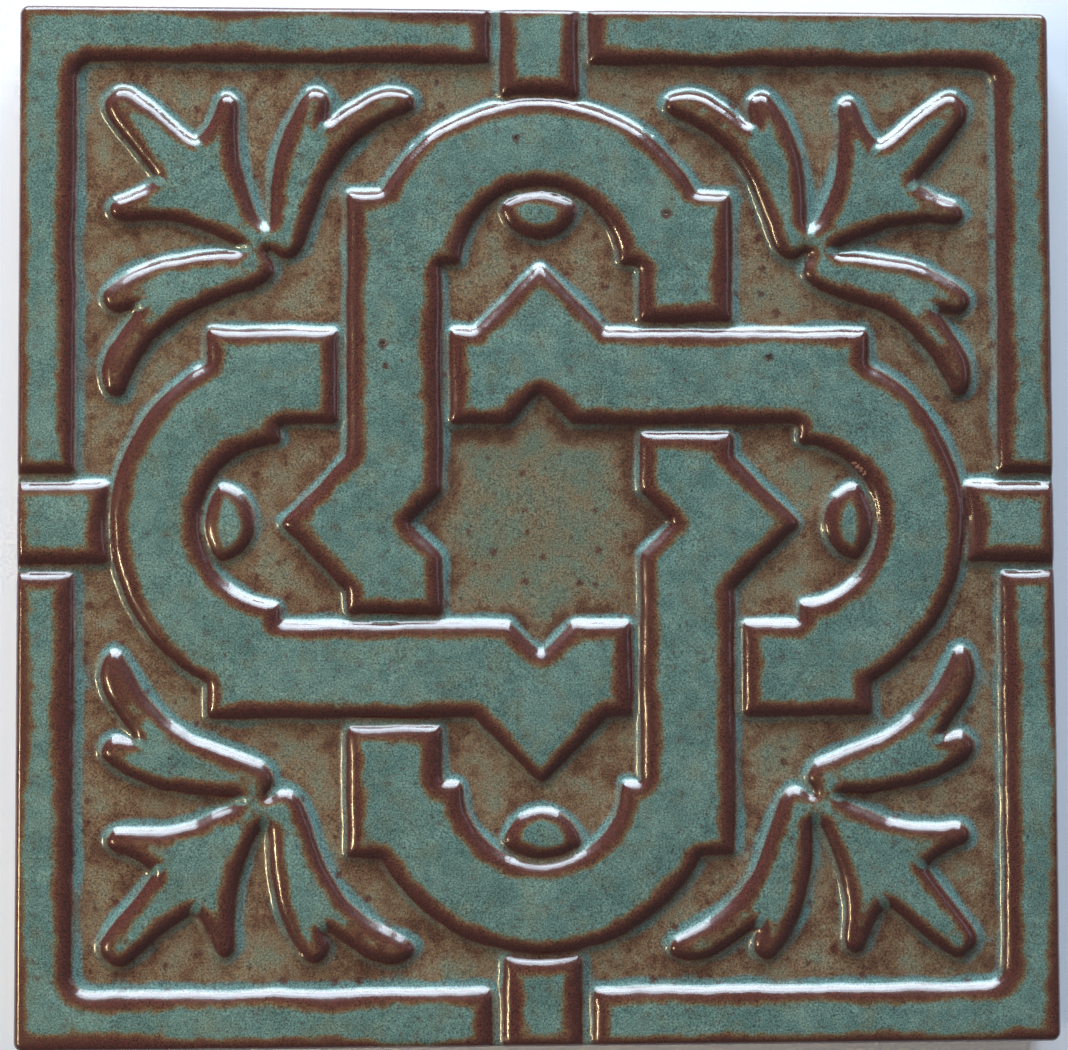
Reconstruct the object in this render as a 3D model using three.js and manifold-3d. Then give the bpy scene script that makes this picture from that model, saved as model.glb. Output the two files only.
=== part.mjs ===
// Square relief tile: a pressed and fired slab with raised strapwork under a pooled glaze.
// Millimetres, +Z up. The tile lies on its back with its face up, its origin under its middle.

import * as THREE from 'three';
import Module from 'manifold-3d';
import { mergeVertices } from 'three/addons/utils/BufferGeometryUtils.js';

const wasm = await Module();
wasm.setup();

// Slab
const tileSide = 152.4;
const fieldLevel = 11.1; // height of the sunk field above the back
const reliefHeight = 1.6; // how far every raised shape stands above the field
const cornerRadius = 1.4; // the tile's four upright corners
const rimRound = 1.1; // rounding along the top edge of the slab

// Raised shapes: their wall is upright at the foot and rolls over into the flat top
const edgeRollWidth = 0.85;
const edgeRollHeight = 1;
const edgeRollSteps = 2;
const rootDepth = 1; // how deep a raised shape is rooted in the slab

// Border bars and the block in the middle of each side
const borderWidth = 8.2;
const borderInnerRadius = 2.6;
const blockWidth = 11.6;
const blockSideGap = 1.5;
const blockLobeGap = 0.8;

// Straps: four like ones, each a quarter turn from the next
const strapInnerEdge = 14.6; // from the tile's middle to the near edge of a strap
const strapWidth = 13.8;
const weaveGap = 1.3; // where one strap seems to pass under another
const chevronOuter = 9.8; // how far the mid-strap point stands out
const chevronInner = 4.8; // and the notch behind it

// Round lobe at the end of each pair of straps
const lobeOuterRadius = 26.3;
const lobeOuterCentre = 36.5; // from the tile's middle
const lobeInnerRadius = 11.8;
const lobeInnerCentre = 38;
const lobeOuterLedge = 48.7; // height at which the strap steps in to the outer arc
const lobeInnerLedge = 38.1; // and at which it steps in to the inner arc

// Boss inside each lobe: a lens with a shallow outer and a deep inner side
const bossWidth = 11.3;
const bossShoulder = 46.8; // from the tile's middle to the lens's two corners
const bossOuterRise = 2.2;
const bossInnerRise = 4.9;

// Leaf spray in each corner, drawn in grid steps from the border's inner corner
const sprayGrid = 1;

const curveTolerance = 0.06; // how far a drawn chord may leave its true curve
const overrun = 3; // the body is made this much too wide, then trimmed to the slab's sides
const rimSteps = 3;
const quarterTurn = Math.PI / 2;
const quarters = [0, 1, 2, 3];

const half = tileSide / 2;
const topLevel = fieldLevel + reliefHeight;
const strapOuterEdge = strapInnerEdge + strapWidth;
const borderInner = half - borderWidth;
const pastEdge = half + overrun;

const point = (x, y) => new THREE.Vector2(x, y);

function distanceToLine(p, a, b) {
  const along = b.clone().sub(a);
  const offset = p.clone().sub(a);
  const length = along.length();
  return length === 0 ? offset.length() : Math.abs(along.cross(offset)) / length;
}

// Keeps only the points that a curve needs to stay within the tolerance
function thinned(points) {
  const first = points[0];
  const last = points[points.length - 1];
  let worst = 0;
  let split = 0;
  for (let i = 1; i < points.length - 1; i += 1) {
    const off = distanceToLine(points[i], first, last);
    if (off > worst) {
      worst = off;
      split = i;
    }
  }
  if (worst <= curveTolerance) return [first, last];
  return [...thinned(points.slice(0, split + 1)).slice(0, -1), ...thinned(points.slice(split))];
}

// Arc about (x, y) from one angle to another, in degrees
function arc(x, y, radius, fromDegrees, toDegrees) {
  const turn = THREE.MathUtils.degToRad(toDegrees - fromDegrees);
  const start = THREE.MathUtils.degToRad(fromDegrees);
  const step = 2 * Math.acos(1 - Math.min(curveTolerance / radius, 1));
  const count = Math.max(2, Math.ceil(Math.abs(turn) / step));
  return Array.from({ length: count + 1 }, (_, i) => {
    const angle = start + (turn * i) / count;
    return point(x + radius * Math.cos(angle), y + radius * Math.sin(angle));
  });
}

// Arc over a chord from a to b, bulging to the right of its direction by the given rise
function bowed(a, b, rise) {
  const chord = b.clone().sub(a);
  const run = chord.length();
  const radius = (run * run) / (8 * rise) + rise / 2;
  const right = point(chord.y, -chord.x).normalize();
  const centre = a.clone().add(b).multiplyScalar(0.5).addScaledVector(right, rise - radius);
  const start = THREE.MathUtils.radToDeg(Math.atan2(a.y - centre.y, a.x - centre.x));
  const sweep = 2 * THREE.MathUtils.radToDeg(Math.asin(Math.min(1, run / (2 * radius))));
  return arc(centre.x, centre.y, radius, start, start + sweep);
}

// Smooth curve through a few points
function flowing(...coordinates) {
  const curve = new THREE.SplineCurve(coordinates.map(([x, y]) => point(x, y)));
  return thinned(curve.getPoints(coordinates.length * 12));
}

// Drops each point that falls on the one before it
function withoutRepeats(outline) {
  return outline.filter((p, i) => p.distanceTo(outline[(i + outline.length - 1) % outline.length]) > 1e-3);
}

function squareOutline(reach, radius) {
  const inner = reach - radius;
  return [
    ...arc(inner, inner, radius, 0, 90),
    ...arc(-inner, inner, radius, 90, 180),
    ...arc(-inner, -inner, radius, 180, 270),
    ...arc(inner, -inner, radius, 270, 360),
  ];
}

function turned(outline, quarter) {
  const origin = point(0, 0);
  return outline.map((p) => p.clone().rotateAround(origin, quarter * quarterTurn));
}

// Turns a closed geometry into a solid that can be joined and cut
function solidOf(geometry) {
  geometry.deleteAttribute('normal');
  geometry.deleteAttribute('uv');
  const welded = mergeVertices(geometry, 1e-5);
  return new wasm.Manifold(new wasm.Mesh({
    numProp: 3,
    vertProperties: new Float32Array(welded.attributes.position.array),
    triVerts: new Uint32Array(welded.index.array),
  }));
}

// A prism with both its edges rolled, from one level to another
function rolledPrism(outline, bottom, top, rollWidth, rollHeight, steps) {
  const geometry = new THREE.ExtrudeGeometry(new THREE.Shape(withoutRepeats(outline)), {
    depth: top - bottom - 2 * rollHeight,
    bevelThickness: rollHeight,
    bevelSize: rollWidth,
    bevelOffset: -rollWidth,
    bevelSegments: steps,
  });
  geometry.translate(0, 0, bottom + rollHeight);
  return solidOf(geometry);
}

function raised(outline) {
  const bottom = fieldLevel - rootDepth - edgeRollHeight;
  return rolledPrism(outline, bottom, topLevel, edgeRollWidth, edgeRollHeight, edgeRollSteps);
}

// L-shaped bar around the upper left corner of the tile
function borderBar() {
  const end = blockWidth / 2 + blockSideGap;
  const bend = borderInner - borderInnerRadius;
  return [
    point(-end, pastEdge),
    point(-pastEdge, pastEdge),
    point(-pastEdge, end),
    point(-borderInner, end),
    ...arc(-bend, bend, borderInnerRadius, 180, 90),
    point(-end, borderInner),
  ];
}

// Block in the middle of the upper side, hollowed to follow the lobe
function sideBlock() {
  const radius = lobeOuterRadius + blockLobeGap;
  const side = blockWidth / 2;
  const spread = THREE.MathUtils.radToDeg(Math.asin(side / radius));
  return [
    point(side, pastEdge),
    point(-side, pastEdge),
    ...arc(0, lobeOuterCentre, radius, 90 + spread, 90 - spread),
  ];
}

// Strap up the left of the middle, round the upper lobe and down its right side
function strap() {
  const angleOf = (rise, radius) => THREE.MathUtils.radToDeg(Math.asin(rise / radius));
  const outerStart = angleOf(lobeOuterLedge - lobeOuterCentre, lobeOuterRadius);
  const innerStart = angleOf(lobeInnerLedge - lobeInnerCentre, lobeInnerRadius);
  const lowerEnd = weaveGap - strapInnerEdge;
  const upperEnd = strapOuterEdge + weaveGap;
  return [
    point(-strapInnerEdge, lowerEnd),
    point(-strapInnerEdge, -chevronInner),
    point(-strapInnerEdge - chevronInner, 0),
    point(-strapInnerEdge, chevronInner),
    point(-strapInnerEdge, lobeInnerLedge),
    ...arc(0, lobeInnerCentre, lobeInnerRadius, 180 - innerStart, innerStart),
    point(strapInnerEdge, lobeInnerLedge),
    point(strapInnerEdge, upperEnd),
    point(strapOuterEdge, upperEnd),
    point(strapOuterEdge, lobeOuterLedge),
    ...arc(0, lobeOuterCentre, lobeOuterRadius, outerStart, 180 - outerStart),
    point(-strapOuterEdge, lobeOuterLedge),
    point(-strapOuterEdge, chevronOuter),
    point(-strapOuterEdge - chevronOuter, 0),
    point(-strapOuterEdge, -chevronOuter),
    point(-strapOuterEdge, lowerEnd),
  ];
}

function boss() {
  const left = point(-bossWidth / 2, bossShoulder);
  const right = point(bossWidth / 2, bossShoulder);
  return [...bowed(left, right, bossInnerRise), ...bowed(right, left, bossOuterRise)];
}

// Right half of the upper left spray, from its root on the tile's diagonal round to its corner tip.
// Both numbers of a point are grid steps in from the border's inner corner.
function sprayHalf() {
  const placed = ([across, down]) => [across * sprayGrid - borderInner, borderInner - down * sprayGrid];
  const edge = (...stations) => flowing(...stations.map(placed));
  const runs = [
    edge([27.8, 27.8], [28.7, 28], [30, 28.8], [31.4, 28.8], [32.8, 27.6], [33.6, 25.8], [35, 22], [36.5, 18],
      [39, 14], [42, 11], [44.5, 9.3], [47.4, 7.8], [49, 6.8], [49.3, 5.6], [48.2, 4.4], [45.5, 4], [42.5, 5],
      [39.5, 7], [36.4, 9.1]),
    edge([36.4, 9.1], [36.8, 7.5], [37, 6], [36.2, 4.6], [34.8, 4.1], [33.4, 5], [31.5, 8], [29.7, 12],
      [28.8, 16], [28.4, 20], [28.3, 23], [27.8, 24.4]),
    edge([27.8, 24.4], [26.7, 23], [25.5, 20], [24.3, 17], [23.7, 14], [23.4, 10], [23.5, 7.4], [23.2, 5.8],
      [22, 5], [20.8, 5.7], [20.2, 7.3], [19, 9.7], [17.4, 11.7]),
    edge([17.4, 11.7], [15, 10], [12, 7.5], [9, 5.1], [7.5, 4.2], [6.3, 4.1], [5.4, 4.5], [5, 5]),
  ];
  return [...runs.flatMap((run) => run.slice(0, -1)), runs.at(-1).at(-1)];
}

function spray() {
  const right = sprayHalf();
  const left = right.slice(1, -1).reverse().map((p) => point(-p.y, -p.x));
  return [...right, ...left];
}

function reliefTile() {
  const outlines = [borderBar(), sideBlock(), strap(), boss(), spray()];
  let body = rolledPrism(squareOutline(pastEdge, cornerRadius), 0, fieldLevel, 0, rimRound, 1);
  for (const outline of outlines) {
    for (const quarter of quarters) {
      body = body.add(raised(turned(outline, quarter)));
    }
  }
  const envelope = rolledPrism(squareOutline(half, cornerRadius), -2 * rimRound, topLevel, rimRound, rimRound, rimSteps);
  return body.intersect(envelope);
}

function geometryOf(solid) {
  const mesh = solid.getMesh();
  const geometry = new THREE.BufferGeometry();
  geometry.setAttribute('position', new THREE.BufferAttribute(new Float32Array(mesh.vertProperties), 3));
  geometry.setIndex(new THREE.BufferAttribute(new Uint32Array(mesh.triVerts), 1));
  geometry.computeVertexNormals();
  return geometry;
}

const glaze = new THREE.MeshStandardMaterial({ color: 0x6f8a76, roughness: 0.3, metalness: 0 });

const tile = new THREE.Mesh(geometryOf(reliefTile()), glaze);
tile.name = 'relief_tile';

const part = new THREE.Group();
part.add(tile);

export default part;
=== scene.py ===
"""Square relief tile: straps, lobes and corner sprays above a sunk field, under one pooled satin glaze.

The outlines are cut from the CAD solid, so the glazed surface stands where the solid does. Distances on the
face are in millimetres, measured from the foot of the relief: positive on what is raised, negative on the
field.
"""

import math

import bmesh
import bpy
import numpy as np
from mathutils import Euler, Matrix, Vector
from mathutils.geometry import delaunay_2d_cdt


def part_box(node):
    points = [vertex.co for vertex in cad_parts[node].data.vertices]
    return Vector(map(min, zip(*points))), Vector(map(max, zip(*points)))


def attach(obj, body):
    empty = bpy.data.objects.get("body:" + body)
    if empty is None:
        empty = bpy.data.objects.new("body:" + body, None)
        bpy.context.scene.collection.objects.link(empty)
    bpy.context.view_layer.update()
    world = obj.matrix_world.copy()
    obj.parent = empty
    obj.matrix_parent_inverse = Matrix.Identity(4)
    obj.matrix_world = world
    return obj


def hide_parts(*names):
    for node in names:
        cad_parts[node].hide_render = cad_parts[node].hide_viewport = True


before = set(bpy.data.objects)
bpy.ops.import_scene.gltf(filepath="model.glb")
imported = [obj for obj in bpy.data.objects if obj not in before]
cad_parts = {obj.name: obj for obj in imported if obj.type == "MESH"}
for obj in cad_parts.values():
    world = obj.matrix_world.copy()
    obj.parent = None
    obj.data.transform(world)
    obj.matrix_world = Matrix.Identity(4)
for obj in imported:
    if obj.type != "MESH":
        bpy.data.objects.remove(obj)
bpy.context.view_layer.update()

MM = 0.001
TILE = "relief_tile"
tile_low, tile_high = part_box(TILE)
HALF = (tile_high.x - tile_low.x) / 2 / MM
FACE = tile_high.z / MM

# Body of the tile, mm, with the rows down its sides as shares of the way to the back
RELIEF = 1.6
FIELD = FACE - RELIEF
CORNER_ROUND = 1.4
RIM_ROLL = 1.1
RIM_ROLL_IN_GROOVES = 0.45
TOP_FALL = 0.10
BACK_EDGE_ROUND = 0.4
SIDE_ROWS = (0.12, 0.3, 0.5, 0.7, 0.88, 1.0)
BACK_EDGE_ROWS = (0.5, 1.0)

# Bosses in the lobes: centre and half widths in mm, where they end as a share of those, and how domed
BOSS_CENTRE = 45.5
BOSS_LONG = 6.2
BOSS_SHORT = 4.0
BOSS_EDGE = 1.12
BOSS_DOME = 0.32

# Where the interlaced lobes end and the corner panels begin, mm, on the diagonal and along the sides
LOBES_END_DIAGONAL = (64.0, 74.0)
LOBES_END_ALONG = (60.0, 66.0)
PANEL_DIAGONAL = (72.0, 76.0)
PANEL_ALONG = (63.0, 66.0)

# Outlines of the relief: depth of the cut that gives them and rounding in mm, sharp turns in radians
OUTLINE_CUT = 1.3
ON_THE_SIDE = 0.03
AT_THE_CORNER = 0.05
RUN_OUT = 4.0
REPEATED_POINT = 0.03
STRAIGHT_WITHIN = 0.004
SHARP_TURN = 0.75
PLAN_ROUND = 0.8
LONGEST_CUT_BACK = 1.6
CUT_BACK_SHARE = 0.4
POINTS_PER_CORNER = 6
OUTLINE_STEP = 0.35

# Waves left by hand pressing: length in mm, depth in mm and the seed of their random draws
OUTLINE_WAVES = ((14.0, 0.06, 3), (4.0, 0.025, 4))
SURFACE_WAVES = ((12.0, 0.035, 5), (2.6, 0.008, 8))
RIM_WAVES = ((45.0, 0.35, 11),)
THICKNESS_WAVES = ((22.0, 0.22, 17),)
POOL_WAVES = ((9.0, 0.14, 13),)
WAVES_SUMMED = 10
SHORTEST_WAVE = 0.7
LONGEST_WAVE = 1.5

# Distance grid, mm: its pitch, how far it reaches, and how far from an outline distances are measured
GRID = 0.2
REACH = HALF + 1.2
BAND = 6.0
AXIS = np.arange(-REACH, REACH + GRID / 2, GRID)

# Glazed wall of the relief: height above the field at each distance from the foot line, mm
WALL_PROFILE = (
    (-1.3, 0.0),
    (-0.95, 0.025),
    (-0.65, 0.115),
    (-0.3, 0.36),
    (0.0, 0.66),
    (0.3, 0.94),
    (0.6, 1.16),
    (0.9, 1.32),
    (1.2, 1.435),
    (1.5, 1.505),
    (1.9, 1.565),
    (2.5, RELIEF),
)
PROFILE_STEP = 0.02
PROFILE_BLUR = 0.13
PROFILE_REACH = 20

# How far the glaze softens the wall, and where along it the thicker coat begins and the top falls away, mm
THIN_COAT_BLUR = 0.22
THICK_COAT_BLUR = 0.55
THICK_COAT = (0.3, 1.6)
TOP_EDGE = (1.0, 3.0)
TOP_LEVEL = (1.5, 5.0)
GROOVE_TO_TOP = (-0.6, 1.2)

# Spacing of the face's points, mm
WALL_LEVELS = (-1.25, -0.9, -0.6, -0.3, -0.1, 0.1, 0.3, 0.55, 0.85, 1.2, 1.6, 2.1)
WALL_SPACING = 0.3844
NEAR_SPACING = 0.9
NEAR_LOW = -2.6
NEAR_HIGH = 4.0
FAR_SPACING = 1.6
CLOSEST_SHARE = 0.72
ROW_PITCH = 0.87
RIM_INSETS = (0.0, 0.05, 0.16, 0.34, 0.6, 0.95, 1.5)
RIM_SPACING = 0.8
RIM_CORNER_STEPS = 5
INSIDE_THE_RIM = 0.35

# Where the glaze ran thin or stayed thick, mm
RIM_BROWN = 0.55
SIDE_THINNING = 0.8
THINNING = (0.6, 1.6)
THICKENING = (0.5, 1.3)
BASE_THICKNESS = 0.1
SPRAY_THICKNESS = 0.22
BOSS_THICKNESS = 0.25
SPRAY_NECK = 40.0
NECK_WIDE = 2.0
NECK_THICKNESS = 1.2
LEAF_NOTCHES = ((31.6, 59.0), (50.6, 56.4), (40.4, 44.5))
NOTCH_LONG = 1.3
NOTCH_WIDE = 0.6
NOTCH_INWARD = 1.0

# Glaze pooled in a line along the foot of the walls: base shares, and what facing up or right adds. Facing
# up, toward the window, makes the teal line wider and stronger, partly painted light; facing down makes it
# narrower and weaker, partly painted shade
POOL_BASE = 0.2
POOL_BEYOND_LOBES = 0.3
POOL_AND_LIGHT_UP = 0.385
POOL_RIGHT = 0.32
FOOT_TEAL_BASE = 0.7
FOOT_TEAL_LIGHT_UP = 0.42
FOOT_TEAL_RIGHT = 0.1
FOOT_TEAL_LEAST = 0.1
FOOT_TEAL_MOST = 0.97
CLIMB_RIGHT = 0.3

# Width of that line in mm, at no pooling and added by full pooling with its painted light, and how far it
# climbs the wall
FOOT_LINE_LEAST = 0.85
FOOT_LINE_MORE = 0.85
FOOT_LINE_CLIMB = 0.28

# Colours of the glaze and the clay, as they are seen
TEAL_DEEP = (77, 102, 96)
TEAL = (92, 119, 112)
TEAL_STAIN = (104, 108, 88)
TEAL_PALE = (109, 132, 121)
TEAL_FOOT = (92, 122, 119)
OLIVE = (102, 102, 80)
TAN = (106, 76, 50)
RED_BROWN = (90, 52, 38)
DARK_BROWN = (77, 37, 31)
FIELD_DARK = (80, 50, 37)
FIELD_BROWN = (112, 85, 61)
FIELD_OLIVE = (116, 104, 83)
FIELD_GREY = (106, 107, 88)
FIELD_GREEN = (98, 110, 95)
RUST = (82, 44, 34)
PEPPER = (44, 46, 38)
CHIPPED_CLAY = (176, 132, 110)
CLAY = (176, 150, 122)
CLAY_SHADE = (150, 126, 102)

# Colour bands over the wall and onto the top, each at its distance from the foot line, mm
BANDS = (
    (0.0, DARK_BROWN),
    (1.0, DARK_BROWN),
    (1.7, RED_BROWN),
    (2.1, TAN),
    (2.45, OLIVE),
    (2.9, TEAL),
    (5.0, TEAL),
)
WANDER = 0.45
WANDER_GROWS = (0.6, 2.0)
FIELD_TO_WALL = (-0.25, 0.15)
RING_TO_TEAL = (2.3, 3.1)

# Tones of the field from dark to green, how they change away from the walls and in the middle star, mm
FIELD_TONES = (
    (0.0, FIELD_DARK),
    (0.3, FIELD_BROWN),
    (0.55, FIELD_OLIVE),
    (0.8, FIELD_GREY),
    (1.0, FIELD_GREEN),
)
FIELD_AWAY = (1.0, 6.0)
STAR_AWAY = (1.2, 4.2)
STAR_EDGE = (24.0, 34.0)
STAR_SHADE = 0.99
PANEL_SHADE = 1.12

# Range in which noise mostly lies
NOISE_SPREAD = (0.3, 0.7)

# Flaws on the face, mm: place and radii of each brown ring and its hole, and the patches of the chip
PINHOLES = (
    (-3.5, 56.7, 0.6, 0.28),
    (18.7, 45.7, 0.8, 0.3),
    (-23.1, 26.3, 0.75, 0.35),
    (-22.7, 23.1, 0.5, 0.1),
    (33.8, 24.4, 0.6, 0.35),
)
CHIP = ((46.4, 8.9, 0.26), (46.95, 8.3, 0.3), (47.35, 7.8, 0.26), (47.9, 7.2, 0.24))

# Camera: focal length in the photograph's pixels, place in metres, turn in degrees
PHOTO_WIDTH = 1068.0
FOCAL_PIXELS = 2500.0
SENSOR_WIDTH = 36.0
CAMERA_PLACE = (-0.01818, -0.01789, 0.37789)
CAMERA_TURN = (2.758, -2.686, -0.202)

# Floor and light: metres, watts and degrees
FLOOR_HALF = 3.0
FLOOR_COLOUR = (0.80, 0.83, 0.93, 1.0)
SKY_COLOUR = (0.93, 0.95, 1.0, 1.0)
SKY_STRENGTH = 0.17

# Three panes of a tall window: lowest and highest angle above the floor, and brightness
WINDOW_PANES = ((6.0, 15.0, 16.0), (16.2, 27.0, 15.0), (28.2, 40.0, 8.0))
WINDOW_AWAY = 1.0
WINDOW_WIDE = 1.3
WINDOW_COLOUR = (0.72, 0.88, 1.0)

# Narrow warm light, aimed at the tile's left side so that its reflections fade toward the right
WARM_STRIP_PLACE = (-0.70, -0.11, 0.56)
WARM_STRIP_AIM = (-0.075, 0.0, 0.0)
WARM_STRIP_SPREAD = 21.0
SIDE_FILL_PLACE = (-1.0, 0.2, 0.6)
COOL_STRIP_PLACE = (1.0, 0.25, 0.45)


def soft_step(value, start, end):
    """0 before start, 1 after end, and an even rise between them."""
    t = np.clip((value - start) / (end - start), 0.0, 1.0)
    return t * t * (3.0 - 2.0 * t)


def rolling(x, y, wavelength, seed):
    """Gentle unevenness of about unit height over the tile, as hand pressing leaves it."""
    draw = np.random.default_rng(seed)
    height = np.zeros(np.broadcast(x, y).shape)
    for _ in range(WAVES_SUMMED):
        heading = draw.uniform(0.0, 2.0 * math.pi)
        pitch = 2.0 * math.pi / (wavelength * draw.uniform(SHORTEST_WAVE, LONGEST_WAVE))
        start = draw.uniform(0.0, 2.0 * math.pi)
        height += np.sin(pitch * (x * math.cos(heading) + y * math.sin(heading)) + start)
    return height / math.sqrt(WAVES_SUMMED / 2.0)


def unevenness(x, y, waves):
    """The sum in mm of waves given as (length, depth, seed)."""
    return sum(depth * rolling(x, y, length, seed) for length, depth, seed in waves)


def softened(field, radius):
    """The grid blurred by a bell curve of that radius in mm, out to three radii."""
    reach = int(math.ceil(3.0 * radius / GRID))
    offsets = np.arange(-reach, reach + 1)
    weights = np.exp(-0.5 * (offsets * GRID / radius) ** 2)
    weights /= weights.sum()
    for axis in (0, 1):
        padding = [(0, 0), (0, 0)]
        padding[axis] = (reach, reach)
        wide = np.pad(field, padding, mode="edge")
        field = sum(
            weight * np.take(wide, np.arange(field.shape[axis]) + reach + offset, axis=axis)
            for offset, weight in zip(offsets, weights)
        )
    return field


def sampled(field, x, y):
    """The grid's value at any points."""
    column = np.clip((x + REACH) / GRID, 0, len(AXIS) - 1.001)
    row = np.clip((y + REACH) / GRID, 0, len(AXIS) - 1.001)
    left = column.astype(int)
    below = row.astype(int)
    across = column - left
    up = row - below
    lower = field[below, left] * (1 - across) + field[below, left + 1] * across
    upper = field[below + 1, left] * (1 - across) + field[below + 1, left + 1] * across
    return lower * (1 - up) + upper * up


# Outlines of the relief


def cut_rings():
    """The closed outlines, in mm, where a level plane cuts the upright walls of the solid's relief."""
    cut = bmesh.new()
    cut.from_mesh(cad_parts[TILE].data)
    bmesh.ops.remove_doubles(cut, verts=cut.verts, dist=1e-6)
    sliced = bmesh.ops.bisect_plane(
        cut,
        geom=cut.verts[:] + cut.edges[:] + cut.faces[:],
        dist=1e-7,
        plane_co=(0.0, 0.0, (FACE - OUTLINE_CUT) * MM),
        plane_no=(0.0, 0.0, 1.0),
    )
    cut.verts.index_update()
    neighbours = {}
    for item in sliced["geom_cut"]:
        if isinstance(item, bmesh.types.BMEdge):
            one, other = item.verts
            neighbours.setdefault(one.index, []).append(other.index)
            neighbours.setdefault(other.index, []).append(one.index)
    cut.verts.ensure_lookup_table()
    place = {index: np.array(cut.verts[index].co.xy) / MM for index in neighbours}
    cut.free()
    rings = []
    waiting = set(neighbours)
    while waiting:
        here = min(waiting)
        ring = []
        while here is not None:
            waiting.discard(here)
            ring.append(place[here])
            here = next((n for n in neighbours[here] if n in waiting), None)
        rings.append(np.array(ring))
    return rings


def run_off_the_edge(ring):
    """The ring with its points on the tile's sides moved out past them, so that grooves run off the edge."""
    moved = ring.copy()
    past = HALF + RUN_OUT
    for axis in (0, 1):
        on_side = np.abs(ring[:, axis]) > HALF - ON_THE_SIDE
        moved[on_side, axis] = np.sign(ring[on_side, axis]) * past
    at_corner = (np.abs(ring) > HALF - CORNER_ROUND - AT_THE_CORNER).all(axis=1)
    moved[at_corner] = np.sign(ring[at_corner]) * past
    return moved


def without_spare_points(ring):
    """The ring without repeats and without points that lie on a straight line between their neighbours."""
    apart = np.linalg.norm(ring - np.roll(ring, 1, axis=0), axis=1) > REPEATED_POINT
    ring = ring[apart]
    before = ring - np.roll(ring, 1, axis=0)
    after = np.roll(ring, -1, axis=0) - ring
    bend = np.abs(before[:, 0] * after[:, 1] - before[:, 1] * after[:, 0])
    off_line = bend / np.linalg.norm(before + after, axis=1)
    return ring[off_line > STRAIGHT_WITHIN]


def turning(ring):
    """The angle by which the ring turns at each point."""
    before = ring - np.roll(ring, 1, axis=0)
    after = np.roll(ring, -1, axis=0) - ring
    cross = before[:, 0] * after[:, 1] - before[:, 1] * after[:, 0]
    return np.abs(np.arctan2(cross, (before * after).sum(axis=1)))


def with_soft_corners(ring):
    """The ring with each sharp corner rounded in plan, as a pressed clay corner is."""
    turn = turning(ring)
    before = np.roll(ring, 1, axis=0) - ring
    after = np.roll(ring, -1, axis=0) - ring
    room_before = np.linalg.norm(before, axis=1)
    room_after = np.linalg.norm(after, axis=1)
    rounded = []
    for i, corner in enumerate(ring):
        if turn[i] < SHARP_TURN or np.abs(corner).max() > HALF:
            rounded.append(corner)
            continue
        room = CUT_BACK_SHARE * min(room_before[i], room_after[i])
        cut_back = min(PLAN_ROUND * math.tan(turn[i] / 2), room, LONGEST_CUT_BACK)
        start = corner + before[i] / room_before[i] * cut_back
        end = corner + after[i] / room_after[i] * cut_back
        for t in np.linspace(0.0, 1.0, POINTS_PER_CORNER):
            rounded.append((1 - t) ** 2 * start + 2 * t * (1 - t) * corner + t * t * end)
    return np.array(rounded)


def flowing(ring):
    """The ring with close points along smooth curves between its own points."""
    chord = np.roll(ring, -1, axis=0) - ring
    length = np.linalg.norm(chord, axis=1)
    heading = chord / length[:, None]
    lean = chord + np.roll(chord, 1, axis=0)
    lean /= np.linalg.norm(lean, axis=1)[:, None]
    sharp = turning(ring) > SHARP_TURN
    points = []
    for i in range(len(ring)):
        j = (i + 1) % len(ring)
        leaving = (heading[i] if sharp[i] else lean[i]) * length[i]
        arriving = (heading[i] if sharp[j] else lean[j]) * length[i]
        steps = max(1, math.ceil(length[i] / OUTLINE_STEP))
        t = (np.arange(steps) / steps)[:, None]
        points.append(
            (2 * t**3 - 3 * t**2 + 1) * ring[i]
            + (t**3 - 2 * t**2 + t) * leaving
            + (3 * t**2 - 2 * t**3) * ring[j]
            + (t**3 - t**2) * arriving
        )
    return np.concatenate(points)


def foot_distance(outlines):
    """Distance over the grid to the nearest outline, up to the band's width, positive on what is raised."""
    size = len(AXIS)
    nearest = np.full((size, size), BAND)
    flips = np.zeros((size, size + 1), dtype=int)
    for ring in outlines:
        following = np.roll(ring, -1, axis=0)
        for start, end in zip(ring, following):
            first = np.clip(((np.minimum(start, end) - BAND + REACH) / GRID).astype(int), 0, size)
            last = np.clip(((np.maximum(start, end) + BAND + REACH) / GRID).astype(int) + 1, 0, size)
            if (first >= last).any():
                continue
            x = AXIS[first[0] : last[0]] - start[0]
            y = AXIS[first[1] : last[1], None] - start[1]
            along = end - start
            t = np.clip((x * along[0] + y * along[1]) / (along @ along), 0.0, 1.0)
            gap = np.hypot(x - t * along[0], y - t * along[1])
            block = nearest[first[1] : last[1], first[0] : last[0]]
            np.minimum(block, gap, out=block)
        add_crossings(flips, ring, following)
    inside = np.cumsum(flips, axis=1)[:, :-1] % 2 == 1
    return np.where(inside, nearest, -nearest)


def add_crossings(flips, ring, following):
    """Notes where each grid row crosses the ring, so that odd counts from the left mean inside."""
    size = len(AXIS)
    low_y = np.minimum(ring[:, 1], following[:, 1])
    high_y = np.maximum(ring[:, 1], following[:, 1])
    first_row = np.ceil((low_y + REACH) / GRID).astype(int)
    rise = following[:, 1] - ring[:, 1]
    most_rows = int(np.ceil((high_y - low_y).max() / GRID)) + 1
    for extra in range(most_rows):
        row = first_row + extra
        level = row * GRID - REACH
        crossed = (level < high_y) & (level >= low_y) & (row >= 0) & (row < size)
        share = (level[crossed] - ring[crossed, 1]) / rise[crossed]
        x = ring[crossed, 0] + share * (following[crossed, 0] - ring[crossed, 0])
        column = np.clip(np.ceil((x + REACH) / GRID).astype(int), 0, size)
        np.add.at(flips, (row[crossed], column), 1)


# Height of the glazed face


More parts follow.
